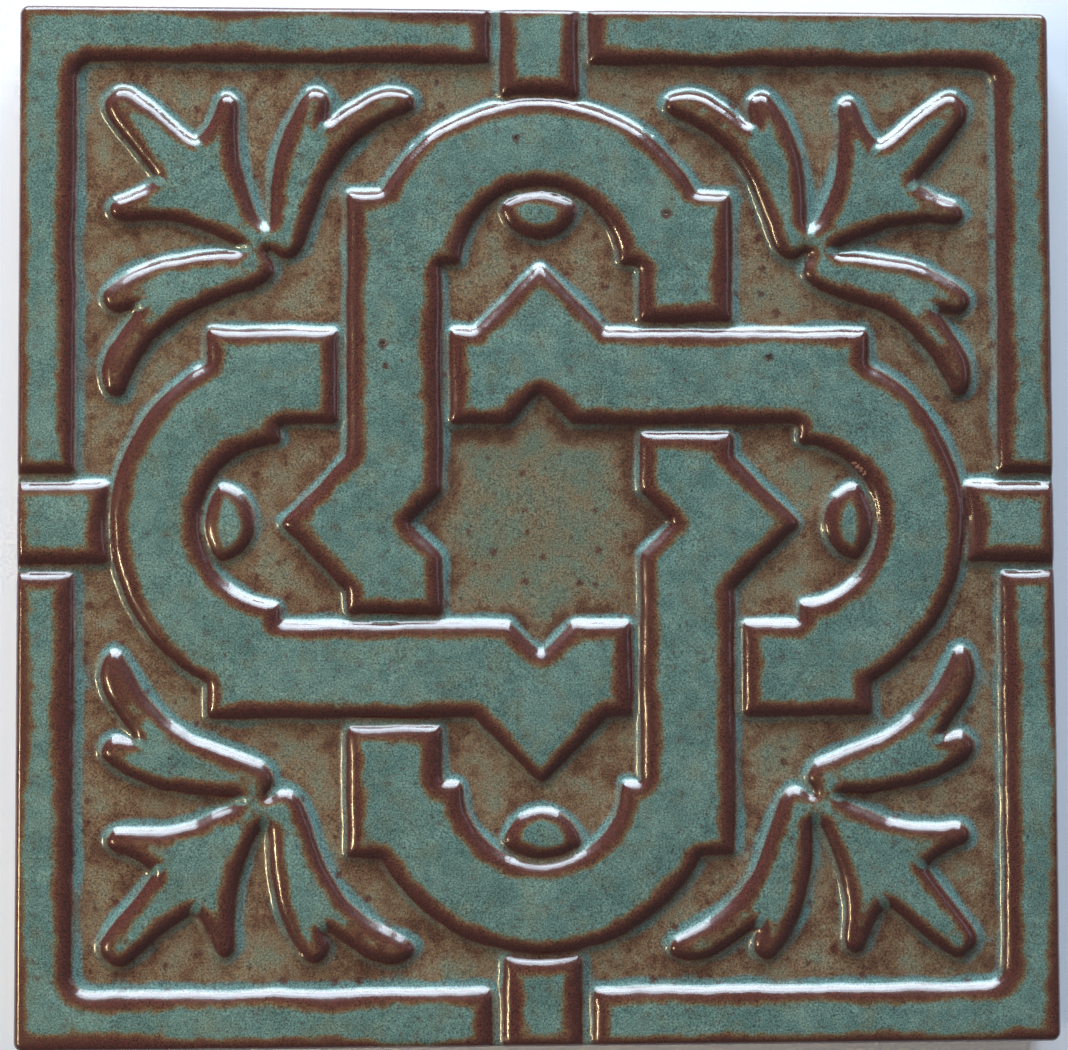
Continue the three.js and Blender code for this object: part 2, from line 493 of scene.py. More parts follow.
def smooth_profile():
    """The wall profile as a dense curve with its kinks smoothed out."""
    distance = np.arange(-2.0, 4.0, PROFILE_STEP)
    height = np.interp(distance, *zip(*WALL_PROFILE))
    offsets = np.arange(-PROFILE_REACH, PROFILE_REACH + 1)
    weights = np.exp(-0.5 * (offsets * PROFILE_STEP / PROFILE_BLUR) ** 2)
    wide = np.pad(height, PROFILE_REACH, mode="edge")
    return distance, np.convolve(wide, weights / weights.sum(), mode="valid")


def pressed_outline(ring):
    """One outline of the relief as pressed clay has it, run out past the tile's sides."""
    plain = without_spare_points(run_off_the_edge(without_spare_points(ring)))
    return flowing(with_soft_corners(plain))


def face_grids():
    """Grids over the face: distance from the foot, crisp for colour and soft for shape, and height."""
    exact = foot_distance([pressed_outline(ring) for ring in cut_rings()])
    x, y = np.meshgrid(AXIS, AXIS)
    exact = exact + unevenness(x, y, OUTLINE_WAVES) * (np.abs(exact) < BAND)
    crisp = softened(exact, THIN_COAT_BLUR)
    share = soft_step(exact, *THICK_COAT)
    soft = crisp * (1 - share) + softened(exact, THICK_COAT_BLUR) * share
    doming = 1.0 - BOSS_DOME * on_boss(x, y) * (soft > 0.0)
    height = FIELD + np.interp(soft * doming, *smooth_profile())
    height += unevenness(x, y, SURFACE_WAVES)
    height += TOP_FALL * (soft_step(soft, *TOP_LEVEL) - 1.0) * soft_step(soft, *TOP_EDGE)
    return crisp, soft, np.minimum(height, FACE)


def on_boss(x, y):
    """1 over the four oval bosses, 0 away from them."""
    share = 0.0
    for quarter in range(4):
        centre_x, centre_y = turned(0.0, BOSS_CENTRE, quarter)
        reach_x, reach_y = (BOSS_LONG, BOSS_SHORT) if quarter % 2 == 0 else (BOSS_SHORT, BOSS_LONG)
        away = np.hypot((x - centre_x) / reach_x, (y - centre_y) / reach_y)
        share = share + 1.0 - soft_step(away, 1.0, BOSS_EDGE)
    return share


# Points of the face


def level_points(distance, level):
    """Points where the grid's distance passes through a level."""
    found = []
    for axis in (0, 1):
        near = distance[:-1, :] if axis == 0 else distance[:, :-1]
        far = distance[1:, :] if axis == 0 else distance[:, 1:]
        row, column = np.nonzero((near < level) != (far < level))
        share = (level - near[row, column]) / (far[row, column] - near[row, column])
        x = AXIS[column] + (share * GRID if axis == 1 else 0.0)
        y = AXIS[row] + (share * GRID if axis == 0 else 0.0)
        found.append(np.column_stack((x, y)))
    return np.concatenate(found)


def outer_inset(x, y):
    """How far a point lies inside the tile's rounded square outline."""
    core = HALF - CORNER_ROUND
    over_x = np.abs(x) - core
    over_y = np.abs(y) - core
    outside = np.hypot(np.maximum(over_x, 0), np.maximum(over_y, 0))
    return CORNER_ROUND - outside - np.minimum(np.maximum(over_x, over_y), 0)


class Scatter:
    """Points kept no closer to each other than each asks for, found by cells of that size in mm."""

    def __init__(self, cell):
        self.cell = cell
        self.boxes = {}
        self.points = []

    def has_room(self, x, y, room):
        column = math.floor(x / self.cell)
        row = math.floor(y / self.cell)
        reach = math.ceil(room / self.cell)
        for i in range(column - reach, column + reach + 1):
            for j in range(row - reach, row + reach + 1):
                for other in self.boxes.get((i, j), ()):
                    if math.hypot(other[0] - x, other[1] - y) < room:
                        return False
        return True

    def add(self, x, y, room):
        if self.has_room(x, y, room):
            key = (math.floor(x / self.cell), math.floor(y / self.cell))
            self.boxes.setdefault(key, []).append((x, y))
            self.points.append((x, y))


def rim_loop(inset):
    """Points round the tile's outline at that inset, anticlockwise."""
    core = HALF - CORNER_ROUND
    radius = CORNER_ROUND - inset
    side_steps = round(2 * core / RIM_SPACING)
    points = []
    for quarter in range(4):
        for k in range(RIM_CORNER_STEPS + 1):
            angle = (k / RIM_CORNER_STEPS) * math.pi / 2
            if radius > 0:
                x = core + radius * math.cos(angle)
                y = core + radius * math.sin(angle)
                points.append(turned(x, y, quarter))
            elif k == 0:
                points.append(turned(core + radius, core + radius, quarter))
        for k in range(1, side_steps):
            along = core - 2 * core * k / side_steps
            points.append(turned(along, core + radius, quarter))
    return points


def turned(x, y, quarter):
    """The point after that many quarter turns about the tile's centre."""
    for _ in range(quarter):
        x, y = -y, x
    return x, y


def face_points(distance):
    """Points of the face: rim loops first, then lines along the walls, then an even spread."""
    loops = [rim_loop(inset) for inset in RIM_INSETS]
    scatter = Scatter(cell=1.0)
    inner = HALF - RIM_INSETS[-1] - INSIDE_THE_RIM
    for level in WALL_LEVELS:
        line = level_points(distance, level)
        keep = np.abs(line).max(axis=1) < inner
        for x, y in line[keep]:
            scatter.add(x, y, WALL_SPACING)
    for spacing, low, high in ((NEAR_SPACING, NEAR_LOW, NEAR_HIGH), (FAR_SPACING, -math.inf, math.inf)):
        columns = int(HALF / spacing) + 1
        rows = int(HALF / (spacing * ROW_PITCH)) + 1
        for row in range(-rows, rows + 1):
            for column in range(-columns, columns + 1):
                x = (column + 0.5 * (row % 2)) * spacing
                y = row * spacing * ROW_PITCH
                if max(abs(x), abs(y)) > inner:
                    continue
                here = sampled(distance, np.array([x]), np.array([y]))[0]
                if low < here < high:
                    scatter.add(x, y, spacing * CLOSEST_SHARE)
    return loops, scatter.points


# The tile


def face_height(height, distance, x, y):
    """Height in mm of the glazed face, with its roll at the tile's rim."""
    surface = sampled(height, x, y)
    raised = soft_step(sampled(distance, x, y), *GROOVE_TO_TOP)
    roll = RIM_ROLL_IN_GROOVES + (RIM_ROLL - RIM_ROLL_IN_GROOVES) * raised
    inset = np.clip(outer_inset(x, y), 0.0, roll)
    return surface - (roll - np.sqrt(np.maximum(2 * roll * inset - inset**2, 0.0)))


def make_tile():
    """The whole tile as one mesh: glazed face, sides and flat back."""
    crisp, soft, height = face_grids()
    loops, spread = face_points(soft)
    flat = [point for loop in loops for point in loop] + spread
    rim_count = len(loops[0])
    rim_edges = [(k, (k + 1) % rim_count) for k in range(rim_count)]
    made, _, faces, origin, _, _ = delaunay_2d_cdt([Vector(p) for p in flat], rim_edges, [], 1, 1e-5)
    x = np.array([v.x for v in made])
    y = np.array([v.y for v in made])
    vertices = np.column_stack((x, y, face_height(height, soft, x, y)))
    glazed_faces = len(faces)
    place_of = {old: new for new, olds in enumerate(origin) for old in olds}
    vertices = with_sides_and_back(vertices, faces, [place_of[k] for k in range(rim_count)])
    mesh = bpy.data.meshes.new("glazed_tile")
    mesh.from_pydata([tuple(v * MM) for v in vertices], [], faces)
    mesh.update()
    mesh.shade_smooth()
    mesh.polygons[len(faces) - 1].use_smooth = False
    slots = np.array([0] * glazed_faces + [1] * (len(faces) - glazed_faces), dtype=np.int32)
    mesh.polygons.foreach_set("material_index", slots)
    note_glaze(mesh, crisp, soft, x, y)
    tile = bpy.data.objects.new("glazed_tile", mesh)
    bpy.context.scene.collection.objects.link(tile)
    return tile


def with_sides_and_back(vertices, faces, rim):
    """The face's points with those of the sides and back added, whose faces join the list."""
    rings = [rim]
    for row in side_rows(vertices[rim]):
        first = len(vertices)
        vertices = np.vstack((vertices, row))
        rings.append(list(range(first, first + len(rim))))
    for upper, lower in zip(rings, rings[1:]):
        for k in range(len(rim)):
            after = (k + 1) % len(rim)
            faces.append((upper[k], lower[k], lower[after], upper[after]))
    faces.append(tuple(reversed(rings[-1])))
    return vertices


def note_glaze(mesh, crisp, soft, x, y):
    """Stores what the glaze reads on each point of the face: depth, pooling with painted light, foot line
    teal with painted light and shade, and flooding.
    """
    up, right = wall_facing(soft, x, y)
    uneven = unevenness(x, y, POOL_WAVES)
    # Walls facing up, toward the window, get a wider and stronger teal foot line, partly painted light;
    # walls facing down get a weaker one, partly painted shade
    pool_and_light = POOL_BASE + POOL_BEYOND_LOBES * beyond_the_lobes(x, y) + POOL_AND_LIGHT_UP * up + POOL_RIGHT * right
    foot_teal_light_and_shade = FOOT_TEAL_BASE + FOOT_TEAL_LIGHT_UP * up + FOOT_TEAL_RIGHT * right
    notes = {
        "foot_mm": glaze_depth(crisp, right, x, y),
        "pool_and_light": np.clip(pool_and_light + uneven, 0.0, 1.0),
        "foot_teal_light_and_shade": np.clip(foot_teal_light_and_shade + uneven, FOOT_TEAL_LEAST, FOOT_TEAL_MOST),
        "climb": np.minimum(right, CLIMB_RIGHT * right),
        "flooded": glaze_in_notches(x, y),
    }
    for name, values in notes.items():
        padded = np.zeros(len(mesh.vertices))
        padded[: len(values)] = values
        mesh.attributes.new(name, "FLOAT", "POINT").data.foreach_set("value", padded)


def glaze_depth(crisp, right, x, y):
    """Distance in mm from where the glaze ran thin: the foot of the relief, and the tile's own rim."""
    foot = sampled(crisp, x, y)
    foot = foot - SIDE_THINNING * right**4 * soft_step(foot, *THINNING)
    rim = outer_inset(x, y) + RIM_BROWN + unevenness(x, y, RIM_WAVES)
    depth = np.where(foot > RIM_BROWN, np.minimum(foot, np.maximum(rim, RIM_BROWN)), foot)
    for across in (-SPRAY_NECK, SPRAY_NECK):
        for along in (-SPRAY_NECK, SPRAY_NECK):
            near = np.exp(-((x - across) ** 2 + (y - along) ** 2) / (2 * NECK_WIDE**2))
            depth = depth + np.where(foot > 0.2, NECK_THICKNESS * near, 0.0)
    thicker = BASE_THICKNESS + SPRAY_THICKNESS * on_spray(x, y) + BOSS_THICKNESS * foot * on_boss(x, y)
    thicker = thicker + unevenness(x, y, THICKNESS_WAVES)
    return depth + thicker * soft_step(foot, *THICKENING)


def beyond_the_lobes(x, y):
    """1 over the sprays and the border, 0 within the interlaced straps."""
    to_spray = soft_step(np.abs(x) + np.abs(y), *LOBES_END_DIAGONAL)
    return np.maximum(to_spray, soft_step(np.maximum(np.abs(x), np.abs(y)), *LOBES_END_ALONG))


def on_spray(x, y):
    """1 over the corner panels that hold the leaf sprays."""
    outward = soft_step(np.abs(x) + np.abs(y), *PANEL_DIAGONAL)
    return outward * (1.0 - soft_step(np.maximum(np.abs(x), np.abs(y)), *PANEL_ALONG))


def wall_facing(distance, x, y):
    """Which way the nearest wall faces: its share up the tile and its share to the right."""
    step = 2 * GRID
    never_zero = 0.1
    slope_x = sampled(distance, x + step, y) - sampled(distance, x - step, y)
    slope_y = sampled(distance, x, y + step) - sampled(distance, x, y - step)
    length = np.hypot(slope_x, slope_y) + never_zero
    return -slope_y / length, -slope_x / length


def glaze_in_notches(x, y):
    """1 where thick glaze runs through between two leaves of a corner spray."""
    flooded = np.zeros(len(x))
    for one, other in LEAF_NOTCHES:
        for across, along in ((one, other), (other, one)):
            inward = np.array((SPRAY_NECK - across, SPRAY_NECK - along))
            inward /= np.linalg.norm(inward)
            from_x = np.abs(x) - across
            from_y = np.abs(y) - along
            deep = (from_x * inward[0] + from_y * inward[1] - NOTCH_INWARD) / NOTCH_LONG
            aside = (from_x * inward[1] - from_y * inward[0]) / NOTCH_WIDE
            flooded = np.maximum(flooded, np.exp(-(deep**2 + aside**2) / 2))
    return flooded


def side_rows(rim):
    """Rows of points down the sides, from under the rim to the softened edge of the back."""
    rows = []
    flat = rim[:, :2]
    for share in SIDE_ROWS:
        row = rim.copy()
        row[:, 2] = rim[:, 2] * (1 - share) + BACK_EDGE_ROUND * share
        rows.append(row)
    for share in BACK_EDGE_ROWS:
        angle = share * math.pi / 2
        inset = BACK_EDGE_ROUND * (1 - math.cos(angle))
        scale = 1.0 - inset / HALF
        level = BACK_EDGE_ROUND * (1 - math.sin(angle))
        rows.append(np.column_stack((flat * scale, np.full(len(rim), level))))
    return rows


# Shader helpers


def new_group(name, inputs, outputs):
    """An empty shader group with float inputs (name, default) and outputs (name, kind)."""
    group = bpy.data.node_groups.new(name, "ShaderNodeTree")
    for label, value in inputs:
        socket = group.interface.new_socket(label, in_out="INPUT", socket_type="NodeSocketFloat")
        socket.default_value = value
    for label, kind in outputs:
        group.interface.new_socket(label, in_out="OUTPUT", socket_type="NodeSocket" + kind)
    return group, group.nodes.new("NodeGroupInput"), group.nodes.new("NodeGroupOutput")


def join(tree, source, target):
    """Links one socket to another."""
    tree.links.new(source, target)


def maths(tree, operation, *values):
    """A math node with each value linked if it is a socket, or else set."""
    node = tree.nodes.new("ShaderNodeMath")
    node.operation = operation
    for slot, value in zip(node.inputs, values):
        if isinstance(value, bpy.types.NodeSocket):
            join(tree, value, slot)
        else:
            slot.default_value = value
    return node.outputs[0]


def ranged(tree, value, low, high, to_low=0.0, to_high=1.0, smooth=True):
    """The value mapped from one range to another, clamped."""
    node = tree.nodes.new("ShaderNodeMapRange")
    node.interpolation_type = "SMOOTHSTEP" if smooth else "LINEAR"
    join(tree, value, node.inputs["Value"])
    node.inputs["From Min"].default_value = low
    node.inputs["From Max"].default_value = high
    node.inputs["To Min"].default_value = to_low
    node.inputs["To Max"].default_value = to_high
    return node.outputs["Result"]


def surface_value(tree, name):
    """A value stored on the mesh's points."""
    node = tree.nodes.new("ShaderNodeAttribute")
    node.attribute_name = name
    return node.outputs["Fac"]


def shaded(tree, colour, factor):
    """The colour multiplied by a factor."""
    node = tree.nodes.new("ShaderNodeVectorMath")
    node.operation = "SCALE"
    join(tree, colour, node.inputs[0])
    join(tree, factor, node.inputs["Scale"])
    return node.outputs["Vector"]


def blended(tree, share, first, second):
    """Two colours mixed by a share. Each may be a socket or a seen colour."""
    node = tree.nodes.new("ShaderNodeMix")
    node.data_type = "RGBA"
    join(tree, share, node.inputs[0])
    for slot, value in ((node.inputs[6], first), (node.inputs[7], second)):
        if isinstance(value, bpy.types.NodeSocket):
            join(tree, value, slot)
        else:
            slot.default_value = paint(value)
    return node.outputs[2]


def coordinates_mm(tree):
    """Place on the object in millimetres."""
    place = tree.nodes.new("ShaderNodeTexCoord")
    scale = tree.nodes.new("ShaderNodeVectorMath")
    scale.operation = "SCALE"
    scale.inputs["Scale"].default_value = 1.0 / MM
    join(tree, place.outputs["Object"], scale.inputs[0])
    return scale.outputs["Vector"]


def clouds(tree, place, size_mm, detail=2.0, roughness=0.5, warp=0.0):
    """Noise from 0 to 1 whose blots are about that size in mm."""
    node = tree.nodes.new("ShaderNodeTexNoise")
    join(tree, place, node.inputs["Vector"])
    node.inputs["Scale"].default_value = 1.0 / size_mm
    node.inputs["Detail"].default_value = detail
    node.inputs["Roughness"].default_value = roughness
    node.inputs["Distortion"].default_value = warp
    return node.outputs["Fac"]


def spots(tree, place, cell_mm, radius_mm, edge_mm, share, dimensions="2D"):
    """A mask of round spots of mixed sizes, one in each lucky cell."""
    node = tree.nodes.new("ShaderNodeTexVoronoi")
    node.voronoi_dimensions = dimensions
    join(tree, place, node.inputs["Vector"])
    node.inputs["Scale"].default_value = 1.0 / cell_mm
    gap = maths(tree, "MULTIPLY", node.outputs["Distance"], cell_mm)
    chance = tree.nodes.new("ShaderNodeSeparateColor")
    join(tree, node.outputs["Color"], chance.inputs[0])
    lucky = maths(tree, "LESS_THAN", chance.outputs[0], share)
    smallest = 0.35 * radius_mm
    reach = maths(tree, "MULTIPLY_ADD", chance.outputs[1], radius_mm, smallest)
    depth = maths(tree, "SUBTRACT", reach, gap)
    return maths(tree, "MULTIPLY", ranged(tree, depth, -edge_mm / 2, edge_mm / 2), lucky)


def ragged(tree, place, size_mm, amount_mm):
    """The place pushed about by noise, so that spots laid out from it have uneven edges."""
    node = tree.nodes.new("ShaderNodeTexNoise")
    join(tree, place, node.inputs["Vector"])
    node.inputs["Scale"].default_value = 1.0 / size_mm
    node.inputs["Detail"].default_value = 1.0
    centred = tree.nodes.new("ShaderNodeVectorMath")
    centred.operation = "SUBTRACT"
    join(tree, node.outputs["Color"], centred.inputs[0])
    centred.inputs[1].default_value = (0.5, 0.5, 0.5)
    moved = tree.nodes.new("ShaderNodeVectorMath")
    moved.operation = "MULTIPLY_ADD"
    join(tree, centred.outputs["Vector"], moved.inputs[0])
    moved.inputs[1].default_value = (amount_mm, amount_mm, amount_mm)
    join(tree, place, moved.inputs[2])
    return moved.outputs["Vector"]


def paint(seen):
    """A colour seen as 0 to 255 values, as the linear values a shader takes."""
    shares = [part / 255.0 for part in seen]
    linear = [s / 12.92 if s <= 0.04045 else ((s + 0.055) / 1.055) ** 2.4 for s in shares]
    return (*linear, 1.0)


def colour_ramp(tree, value, stops, reach=1.0):
    """A smooth colour ramp over a value from 0 to its reach, with each stop as (value, seen colour)."""
    node = tree.nodes.new("ShaderNodeValToRGB")
    ramp = node.color_ramp
    ramp.interpolation = "B_SPLINE"
    while len(ramp.elements) < len(stops):
        ramp.elements.new(0.5)
    for element, (position, seen) in zip(ramp.elements, stops):
        element.position = position / reach
        element.color = paint(seen)
    join(tree, value, node.inputs[0])
    return node.outputs[0]


# Shared effects


def kiln_speckle_group():
    """Dark pepper, rust specks and fine grain over the face, as masks."""
    group, given, gives = new_group(
        "kiln_speckle",
        (("Blot Share", 0.8), ("Dot Share", 0.6), ("Pepper Share", 0.6)),
        (("Pepper", "Float"), ("Rust", "Float"), ("Grain", "Float")),
    )
    place = coordinates_mm(group)
    uneven = ragged(group, place, size_mm=0.6, amount_mm=1.1)
    pepper = spots(group, uneven, cell_mm=1.7, radius_mm=0.13, edge_mm=0.16, share=0.4)
    blots = spots(group, uneven, cell_mm=3.9, radius_mm=0.46, edge_mm=0.65, share=0.5)
    dots = spots(group, uneven, cell_mm=2.1, radius_mm=0.2, edge_mm=0.28, share=0.48)
    blots = maths(group, "MULTIPLY", blots, given.outputs["Blot Share"])
    dots = maths(group, "MULTIPLY", dots, given.outputs["Dot Share"])
    grain = clouds(group, place, size_mm=0.24, detail=1.0, roughness=0.6)
    join(group, maths(group, "MULTIPLY", pepper, given.outputs["Pepper Share"]), gives.inputs["Pepper"])
    join(group, maths(group, "MAXIMUM", blots, dots), gives.inputs["Rust"])
    join(group, grain, gives.inputs["Grain"])
    return group


def around(tree, place, x, y, radius_mm, edge_mm):
    """A mask of one round spot at a chosen place on the face."""
    node = tree.nodes.new("ShaderNodeVectorMath")
    node.operation = "DISTANCE"
    join(tree, place, node.inputs[0])
    node.inputs[1].default_value = (x, y, 0.0)
    start = radius_mm - edge_mm / 2
    end = radius_mm + edge_mm / 2
    return ranged(tree, node.outputs["Value"], start, end, 1.0, 0.0)


def firing_flaws_group():
    """The few flaws that can be told apart: pinholes in brown rings, and a chip that shows pale clay."""
    group, given, gives = new_group(
        "firing_flaws",
        (("Strength", 1.0),),
        (("Ring", "Float"), ("Hole", "Float"), ("Chip", "Float")),
    )
    uneven = ragged(group, coordinates_mm(group), size_mm=0.7, amount_mm=0.9)
    flat = group.nodes.new("ShaderNodeVectorMath")
    flat.operation = "MULTIPLY"
    join(group, uneven, flat.inputs[0])
    flat.inputs[1].default_value = (1.0, 1.0, 0.0)
    place = flat.outputs["Vector"]
    rings = 0.0
    holes = 0.0
    for x, y, ring, hole in PINHOLES:
        rings = maths(group, "MAXIMUM", rings, around(group, place, x, y, ring, edge_mm=0.5))
        holes = maths(group, "MAXIMUM", holes, around(group, place, x, y, hole, edge_mm=0.2))
    chip = 0.0
    for x, y, radius in CHIP:
        chip = maths(group, "MAXIMUM", chip, around(group, place, x, y, radius, edge_mm=0.2))
    for label, mask in (("Ring", rings), ("Hole", holes), ("Chip", chip)):
        join(group, maths(group, "MULTIPLY", mask, given.outputs["Strength"]), gives.inputs[label])
    return group


def orange_peel_group():
    """Height of the satin glaze's fine unevenness."""
    group, given, gives = new_group("orange_peel", (("Depth", 1.0),), (("Height", "Float"),))
    place = coordinates_mm(group)
    broad = clouds(group, place, size_mm=1.5, detail=1.0)
    fine = clouds(group, place, size_mm=0.4, detail=2.0)
    fine_share = 0.35
    height = maths(group, "MULTIPLY_ADD", fine, fine_share, broad)
    join(group, maths(group, "MULTIPLY", height, given.outputs["Depth"]), gives.inputs["Height"])
    return group


def placed(tree, group, **values):
    """A group node in a material, with its inputs set."""
    node = tree.nodes.new("ShaderNodeGroup")
    node.node_tree = group
    for label, value in values.items():
        node.inputs[label.replace("_", " ")].default_value = value
    return node


def new_material(name):
    """An empty material, its node tree and its shader."""
    material = bpy.data.materials.new(name)
    material.use_nodes = True
    tree = material.node_tree
    return material, tree, tree.nodes["Principled BSDF"]


def bump(tree, height, strength, distance_mm):
    """The normal of a surface with that fine height over it."""
    node = tree.nodes.new("ShaderNodeBump")
    node.inputs["Strength"].default_value = strength
    node.inputs["Distance"].default_value = distance_mm * MM
    join(tree, height, node.inputs["Height"])
    return node.outputs["Normal"]


# Materials


def pooled_glaze(speckle_group, flaw_group, peel_group):
    """Teal where the glaze lies thick on the tops and in the foot line, brown where it ran thin."""
    material, tree, shader = new_material("pooled_glaze")
    place = coordinates_mm(tree)
    distance = surface_value(tree, "foot_mm")
    wander = clouds(tree, place, size_mm=3.2, detail=4.0, roughness=0.62)
    wander = ranged(tree, wander, *NOISE_SPREAD, -WANDER, WANDER, smooth=False)
    broad = clouds(tree, place, size_mm=8.0)
    mottled = clouds(tree, place, size_mm=2.6, detail=4.0, roughness=0.66, warp=0.3)
    teal = teal_colour(tree, place, broad, mottled)
    raised = raised_colour(tree, distance, wander, teal)
    field = field_colour(tree, place, distance, wander, broad, mottled)
    on_wall = ranged(tree, maths(tree, "MULTIPLY_ADD", wander, 0.25, distance), *FIELD_TO_WALL)
    colour = blended(tree, on_wall, field, raised)
    # The foot line's teal carries painted light and shade: stronger on walls facing up toward the window,
    # weaker on those facing away
    colour = blended(tree, foot_line(tree, distance, wander), colour, TEAL_FOOT)
    flooded = maths(tree, "MULTIPLY_ADD", wander, 0.2, surface_value(tree, "flooded"))
    colour = blended(tree, ranged(tree, flooded, 0.35, 0.75, 0.0, 0.95), colour, teal)
    speckle = placed(tree, speckle_group, Dot_Share=0.55, Pepper_Share=0.6)
    join(tree, ranged(tree, distance, -1.5, 1.5, 0.85, 0.35), speckle.inputs["Blot Share"])
    flaws = placed(tree, flaw_group, Strength=0.85)
    for mask, seen in (
        (speckle.outputs["Rust"], RUST),
        (speckle.outputs["Pepper"], PEPPER),
        (flaws.outputs["Ring"], RUST),
        (flaws.outputs["Hole"], PEPPER),
        (flaws.outputs["Chip"], CHIPPED_CLAY),
    ):
        colour = blended(tree, mask, colour, seen)
    grain = ranged(tree, speckle.outputs["Grain"], 0.25, 0.75, 0.3, 1.7, smooth=False)
    join(tree, shaded(tree, colour, grain), shader.inputs["Base Color"])
    join(tree, ranged(tree, broad, *NOISE_SPREAD, 0.22, 0.32), shader.inputs["Roughness"])
    shader.inputs["IOR"].default_value = 1.5
    shader.inputs["Coat Weight"].default_value = 0.8
    shader.inputs["Coat Roughness"].default_value = 0.085
    shader.inputs["Coat IOR"].default_value = 1.5
    normal = glaze_normal(tree, distance, flaws.outputs["Hole"], peel_group)
    join(tree, normal, shader.inputs["Normal"])
    join(tree, normal, shader.inputs["Coat Normal"])
    return material


def glaze_normal(tree, distance, hole, peel_group):
    """The glaze's fine unevenness, stronger over the rounded shoulder, with the pinholes sunk into it."""
    hole_depth = 4.0
    shoulder = maths(
        tree,
        "MULTIPLY",
        ranged(tree, distance, -0.1, 0.5),
        ranged(tree, distance, 1.6, 2.6, 1.0, 0.0),
    )
    peel = placed(tree, peel_group)
    join(tree, maths(tree, "ADD", shoulder, 1.0), peel.inputs["Depth"])
    pitted = maths(tree, "SUBTRACT", peel.outputs["Height"], maths(tree, "MULTIPLY", hole, hole_depth))
    return bump(tree, pitted, strength=0.5, distance_mm=0.03)


def cloudy_tone(tree, broad, mottled):
    """Broad and fine mottling added up, around a half."""
    return maths(tree, "MULTIPLY_ADD", mottled, 0.6, maths(tree, "MULTIPLY", broad, 0.4))


def teal_colour(tree, place, broad, mottled):
    """The mottled teal of thick glaze, with faint brownish stains."""
    tone = ranged(tree, cloudy_tone(tree, broad, mottled), 0.32, 0.68)
    clean = colour_ramp(tree, tone, ((0.0, TEAL_DEEP), (0.5, TEAL), (1.0, TEAL_PALE)))
    stains = clouds(tree, place, size_mm=4.2, roughness=0.6)
    return blended(tree, ranged(tree, stains, 0.46, 0.72, 0.0, 0.5), clean, TEAL_STAIN)


def raised_colour(tree, distance, wander, teal):
    """Brown over the wall and its rounded edge, then a tan and olive ring, then teal."""
    reach = BANDS[-1][0]
    inner = maths(tree, "MULTIPLY_ADD", ranged(tree, distance, *WANDER_GROWS), wander, distance)
    ring = colour_ramp(tree, maths(tree, "DIVIDE", inner, reach), BANDS, reach)
    return blended(tree, ranged(tree, inner, *RING_TO_TEAL), ring, teal)


def field_colour(tree, place, distance, wander, broad, mottled):
    """Mottled brown beside the walls, greener away from them, and paler outside the middle star."""
    from_middle = tree.nodes.new("ShaderNodeVectorMath")
    from_middle.operation = "LENGTH"
    join(tree, place, from_middle.inputs[0])
    in_star = ranged(tree, from_middle.outputs["Value"], *STAR_EDGE, 1.0, 0.0)
    outward = maths(tree, "SUBTRACT", maths(tree, "MULTIPLY", wander, 1.6), distance)
    away = ranged(tree, outward, *FIELD_AWAY, -0.10, 0.10)
    greener = maths(tree, "MULTIPLY", ranged(tree, outward, *STAR_AWAY, -0.08, 0.03), in_star)
    tone = maths(tree, "ADD", cloudy_tone(tree, broad, mottled), away)
    tone = ranged(tree, maths(tree, "ADD", tone, greener), *NOISE_SPREAD, smooth=False)
    colour = colour_ramp(tree, tone, FIELD_TONES)
    shade = ranged(tree, in_star, 0.0, 1.0, PANEL_SHADE, STAR_SHADE, smooth=False)
    return shaded(tree, colour, shade)


def foot_line(tree, distance, wander):
    """Mask of the teal line where glaze pooled along the foot of the walls, made wider and stronger on walls
    facing up toward the window as painted light, and weaker on walls facing away as painted shade.
    """
    pool_and_light = surface_value(tree, "pool_and_light")
    start = maths(tree, "MULTIPLY_ADD", pool_and_light, -FOOT_LINE_MORE, -FOOT_LINE_LEAST)
    outer = maths(tree, "SUBTRACT", maths(tree, "MULTIPLY_ADD", wander, 0.4, distance), start)
    rising = ranged(tree, outer, -0.35, 0.45)
    inner = maths(tree, "MULTIPLY_ADD", surface_value(tree, "climb"), FOOT_LINE_CLIMB, distance)
    falling = ranged(tree, maths(tree, "MULTIPLY_ADD", wander, 0.2, inner), -0.45, 0.0, 1.0, 0.0)
    line = maths(tree, "MULTIPLY", rising, falling)
    return maths(tree, "MULTIPLY", line, surface_value(tree, "foot_teal_light_and_shade"))


def fired_clay(peel_group):
    """Bare buff clay on the sides and back, with the brown glaze run down over the top of the sides."""
    material, tree, shader = new_material("fired_clay")
    place = coordinates_mm(tree)
    split = tree.nodes.new("ShaderNodeSeparateXYZ")
    join(tree, place, split.inputs[0])
    drips = clouds(tree, place, size_mm=6.0, detail=3.0)
    edge = ranged(tree, drips, *NOISE_SPREAD, -2.0, 2.0, smooth=False)
    level = maths(tree, "ADD", split.outputs["Z"], edge)
    glazed = ranged(tree, level, FACE - 5.0, FACE - 4.3)
    clay_tone = ranged(tree, clouds(tree, place, size_mm=3.0, detail=5.0), *NOISE_SPREAD)
    clay = blended(tree, clay_tone, CLAY, CLAY_SHADE)
    brown = blended(tree, clay_tone, RED_BROWN, DARK_BROWN)
    colour = blended(tree, glazed, clay, brown)
    grog = spots(tree, place, cell_mm=1.4, radius_mm=0.3, edge_mm=0.2, share=0.5, dimensions="3D")
    colour = blended(tree, maths(tree, "MULTIPLY", grog, 0.6), colour, RUST)
    join(tree, colour, shader.inputs["Base Color"])
    join(tree, ranged(tree, glazed, 0.0, 1.0, 0.85, 0.3), shader.inputs["Roughness"])
    join(tree, maths(tree, "MULTIPLY", glazed, 0.6), shader.inputs["Coat Weight"])
    shader.inputs["Coat Roughness"].default_value = 0.12
    peel = placed(tree, peel_group, Depth=1.0)
    normal = bump(tree, peel.outputs["Height"], strength=0.5, distance_mm=0.05)
    join(tree, normal, shader.inputs["Normal"])
    return material


# Camera, floor and light


